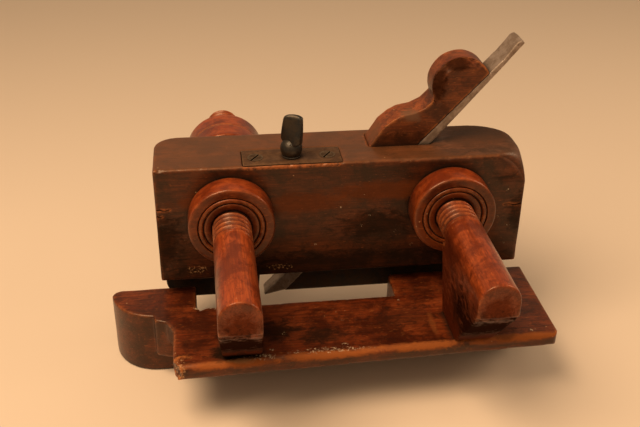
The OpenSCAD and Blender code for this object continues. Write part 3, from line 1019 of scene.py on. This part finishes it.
def stock_spots():
    """Dark corners, two tan stains near the sole and a scatter of pale specks."""
    amber = (0.2, 0.045, 0.009)
    spots = [((0, 0, 30), (20, 12, 28), SOOT, 0.65), ((120, 0, 6), (125, 8, 13), SOOT, 0.65),
             ((24, 0, 8), (7, 4, 3), BARE, 0.9), ((79, 0, 6.5), (9, 4, 2.4), BARE, 0.9),
             ((STOCK_LEN, 0, 40), (12, 10, 20), SOOT, 0.5), ((62, 0, 52), (24, 6, 9), SOOT, 0.5),
             ((145, 0, 36), (32, 6, 13), SOOT, 0.5), ((95, 0, 55), (34, 6, 10), amber, 0.38),
             ((40, 0, 60), (36, 6, 8), amber, 0.4), ((150, 0, 61), (44, 6, 9), amber, 0.42),
             ((218, 30, STOCK_H), (40, 34, 5), SOOT, 0.4), ((185, 8, STOCK_H), (50, 9, 5), SOOT, 0.25),
             ((215, 0, 30), (16, 6, 16), amber, 0.3), ((STOCK_LEN - 12, 6, 66), (16, 12, 6), SOOT, 0.4)]
    rng = np.random.default_rng(4)
    for _ in range(16):
        spots.append(((rng.uniform(30, 240), 0, rng.uniform(12, 60)), (1.1, 1, 1.1), CHALK, 0.8))
    return spots


def fence_spots():
    """A rubbed front edge, dark stains round the feet, and bare chips along the edges."""
    spots = [((x, flange_edge(x) + 1, FENCE_TOP - 1), (42, 3.6, 4), (0.42, 0.12, 0.028), 0.65)
             for x in (45, 105, 165, 225)]
    spots += [((ARM_X["toe"] + 24, -45, FENCE_TOP), (17, 13, 6), SOOT, 0.7),
              ((ARM_X["toe"] + 52, -54, FENCE_TOP), (20, 9, 6), SOOT, 0.6),
              ((ARM_X["toe"] - 8, -66, FENCE_TOP), (13, 9, 6), SOOT, 0.85),
              ((ARM_X["heel"] + 22, -60, FENCE_TOP), (16, 16, 6), SOOT, 0.5),
              ((160, -40, FENCE_TOP), (24, 14, 6), SOOT, 0.35),
              ((ARM_X["heel"] - 18, -50, FENCE_TOP), (2.4, 15, 6), (0.24, 0.065, 0.016), 0.5),
              ((ARM_X["toe"] + 1, -73, FENCE_TOP), (9, 2.4, 4), (0.36, 0.17, 0.07), 0.85),
              ((11, flange_edge(8) + 4, FENCE_TOP - 4), (4.5, 7, 6), BARE, 0.9),
              ((ARM_X["toe"] + 56, flange_edge(95) + 5, FENCE_TOP), (24, 2.6, 2), CHALK, 0.55),
              ((ARM_X["toe"] + 14, flange_edge(60) + 4, FENCE_TOP), (12, 2.6, 2), CHALK, 0.6),
              ((32, -14, FENCE_TOP), (11, 4, 2), CHALK, 0.9),
              ((-12, -60, FENCE_TOP - 20), (40, 26, 18), (0.055, 0.017, 0.009), 0.65)]
    rng = np.random.default_rng(21)
    for _ in range(8):
        place = (rng.uniform(20, 240), rng.uniform(-75, -20), FENCE_TOP)
        spots.append((place, (rng.uniform(1, 2.2), rng.uniform(1, 2.2), 2), CHALK, 0.8))
    return spots


def arm_spots():
    """Grimy feet with painted shade on their fronts and lower flanks, and darker arched ends."""
    spots = []
    for side in ("toe", "heel"):
        low = local(side + "_arm")[0]
        # Grime on the feet, with painted shade on the lower flanks beside them
        spots.append(((ARM_X[side], -75, FENCE_TOP + 2), (60, 80, 60), (0.055, 0.009, 0.002), 0.85))
        spots.append(((ARM_X[side], low[1], ARM_Z - 5), (14, 4, 12), (0.09, 0.018, 0.005), 0.75))
        # Near-black painted shade on the recessed fronts of the feet, with some grime
        spots.append(((ARM_X[side], -98, 18), (40, 46, 30), (0.012, 0.0035, 0.0015), 0.95))
    spots.append(((ARM_X["toe"], -66, FENCE_TOP + 3), (22, 14, 12), SOOT, 0.7))
    return spots


def wedge_spots():
    """A carved dark chamfer on the finial's near edge and a hammered grey patch at the shoulder."""
    low, high = local("wedge")
    near = low[1]
    finial_z = high[2] - FINIAL_R
    shoulder = FINIAL_X - 60
    scorched = (0.028, 0.009, 0.004)
    return [((FINIAL_X - 16, near + 2, finial_z + 4), (7, 5, 17), scorched, 0.9),
            ((FINIAL_X - 5, near + 2, finial_z + 16), (14, 5, 5.5), scorched, 0.85),
            ((shoulder + 27, near + 2, STOCK_H + 20), (9, 8, 5), (0.17, 0.085, 0.05), 0.9),
            ((shoulder + 2, near + 10, STOCK_H + 9), (8, 14, 12), (0.2, 0.085, 0.045), 0.6),
            ((shoulder + 22, near, STOCK_H + 4), (30, 5, 6), scorched, 0.45)]


def build_wood():
    """Makes the wooden pieces."""
    stock_wood = wood("stock_wood_old", 0, STOCK_TONES, 0.85, 0.3, stock_spots(), shaded=0.4,
                      dusty=0.72)
    fence_wood = wood("fence_wood_old", 0, FENCE_TONES, 0.9, 0.27, fence_spots(), 0.75, shift=40)
    arm_wood = wood("arm_wood_old", 1, ARM_TONES, 0.8, 0.22, arm_spots(), 0.45, shift=90)
    nut_wood = wood("nut_wood_old", 0, NUT_TONES, 0.95, 0.2, (), 0.5, shift=150, figure=0.3,
                    shaded=0.42)
    wedge_wood = wood("wedge_wood_old", 0, WEDGE_TONES, 0.8, 0.38, wedge_spots(), 0.7, shift=210)
    make_stock(stock_wood)
    make_fence(fence_wood)
    for side in ("toe", "heel"):
        make_arm(side, arm_wood)
    for side, places in (("toe", ("near", "far", "lock")), ("heel", ("near", "far"))):
        for where in places:
            make_nut(side, where, nut_wood)
    make_wedge(wedge_wood)


def build_iron():
    """Makes the iron and steel pieces; small hidden ones keep their CAD shape."""
    blade_steel = aged_metal(
        "plane_iron_old", (0.34, 0.25, 0.195), (0.22, 0.15, 0.105), (0.62, 0.52, 0.42),
        (0.36, 0.25), metallic=0.4)
    black_iron = aged_metal(
        "thumbscrew_iron_old", (0.035, 0.034, 0.032), (0.055, 0.042, 0.03), (0.3, 0.28, 0.25),
        (0.24, 0.28), metallic=0.8, wear=0.5)
    plate_iron = aged_metal(
        "plate_iron_old", (0.17, 0.08, 0.034), (0.1, 0.045, 0.02), (0.3, 0.19, 0.1),
        (0.4, 0.3), metallic=0.6, wear=0.4)
    skate_iron = aged_metal(
        "skate_iron_old", (0.035, 0.03, 0.026), (0.06, 0.034, 0.02), (0.4, 0.35, 0.3),
        (0.36, 0.3), metallic=0.8, wear=0.8)
    screw_steel = aged_metal(
        "screw_steel_old", (0.17, 0.1, 0.05), (0.09, 0.045, 0.02), (0.3, 0.2, 0.12),
        (0.36, 0.3), metallic=0.8, wear=0.6, scale=0.5)
    make_iron(blade_steel)
    make_thumbscrew(black_iron)
    make_bevelled("depth_plate", "stock", 0.35, plate_iron)
    make_bevelled("front_skate", "stock", 0.5, skate_iron)
    make_bevelled("rear_skate", "stock", 0.5, skate_iron)
    make_bevelled("depth_shoe", "depth_stop", 0.4, skate_iron)
    for node in ("plate_screws", "skate_screws", "depth_collar", "shoe_stem", "shoe_guide",
                 "arm_bolts", "bolt_washers"):
        keep_cad(node, screw_steel)


def add_floor():
    """A wide pale floor under the fence rail."""
    mesh = bpy.data.meshes.new("floor")
    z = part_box("fence")[0].z
    reach = 3
    corners = [(-reach, -reach, z), (reach, -reach, z), (reach, reach, z), (-reach, reach, z)]
    mesh.from_pydata(corners, [], [(0, 1, 2, 3)])
    mesh.materials.append(floor_material())
    link("floor", mesh)


add_camera()
light_scene()
build_wood()
build_iron()
add_floor()
